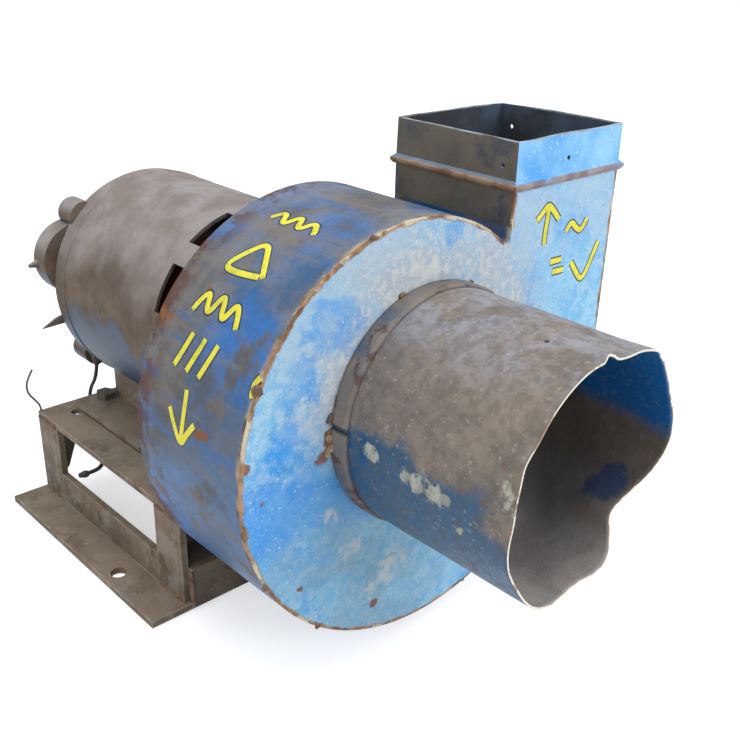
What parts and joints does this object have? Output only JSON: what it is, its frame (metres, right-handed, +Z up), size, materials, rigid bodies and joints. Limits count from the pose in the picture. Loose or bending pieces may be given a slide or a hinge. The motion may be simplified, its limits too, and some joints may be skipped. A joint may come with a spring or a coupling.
{
  "type": "centrifugal combustion fan",
  "caption": "Sheet-steel centrifugal blower with a rolled scroll casing, round inlet tube, rectangular outlet and direct-drive foot-mounted motor on an angle-iron base.",
  "frame": {"origin": "where the shaft axis meets the outer face of the front (inlet) side plate", "axes": "+Z up towards the outlet, +Y along the shaft from the inlet towards the motor, +X towards the outlet side"},
  "size_m": [0.3193, 0.472, 0.3184],
  "materials": {
    "casing_paint_front": "worn light blue paint with dust and rust",
    "casing_paint_wrapper": "worn dark blue paint under streaky dirt",
    "duct_paint": "dark blue paint under brown dust",
    "inlet_paint": "dusty dark blue paint with cream patches",
    "motor_paint": "blue paint under thick dust",
    "base_paint": "rusty steel under oily dust",
    "bare_steel": "dull steel",
    "wheel_steel": "dusty galvanised sheet",
    "cast_aluminium": "cast",
    "core_steel": "laminated",
    "winding": "varnished copper wire",
    "lead_rubber": "aged insulation"
  },
  "bodies": {
    "frame": {"back_side_plate": "casing_paint_wrapper", "casing_face_bolts": "bare_steel", "drive_end_bell": "motor_paint", "earth_strand": "bare_steel", "foot_bolts": "bare_steel", "foot_nuts": "bare_steel", "foot_washers": "bare_steel", "front_bearing_balls": "bare_steel", "front_bearing_outer_ring": "bare_steel", "front_cross_rail": "base_paint", "front_left_leg": "base_paint", "front_right_leg": "base_paint", "front_side_plate": "casing_paint_front", "inlet_collar": "inlet_paint", "inlet_tube": "inlet_paint", "lead_boot": "lead_rubber", "lead_tape": "lead_rubber", "left_rail": "base_paint", "motor_foot_plate": "base_paint", "motor_lead": "lead_rubber", "motor_saddle": "base_paint", "motor_shell": "motor_paint", "outlet_spigot": "duct_paint", "outlet_throat_plate": "duct_paint", "rear_bearing_balls": "bare_steel", "rear_bearing_outer_ring": "bare_steel", "rear_bent_tab": "base_paint", "rear_end_bell": "motor_paint", "rear_left_leg": "base_paint", "rear_right_leg": "base_paint", "rear_vent_plug": "motor_paint", "right_rail": "base_paint", "scroll_wrapper": "casing_paint_wrapper", "stator_core": "core_steel", "stator_windings": "winding", "table_plate": "base_paint", "through_bolts": "bare_steel"},
    "rotor": {"cooling_fan": "cast_aluminium", "front_bearing_inner_ring": "bare_steel", "hub_rivets": "bare_steel", "hub_set_screw": "bare_steel", "impeller_backplate": "wheel_steel", "impeller_blades": "wheel_steel", "impeller_hub": "wheel_steel", "impeller_shroud": "wheel_steel", "motor_shaft": "bare_steel", "rear_bearing_inner_ring": "bare_steel", "rotor_core": "core_steel", "rotor_end_rings": "cast_aluminium", "shaft_key": "bare_steel"}
  },
  "joints": [
    {"name": "impeller_spin", "type": "hinge", "parent": "frame", "child": "rotor", "pos_m": [0, 0.1, 0], "axis": [0, 1, 0], "continuous": true}
  ]
}
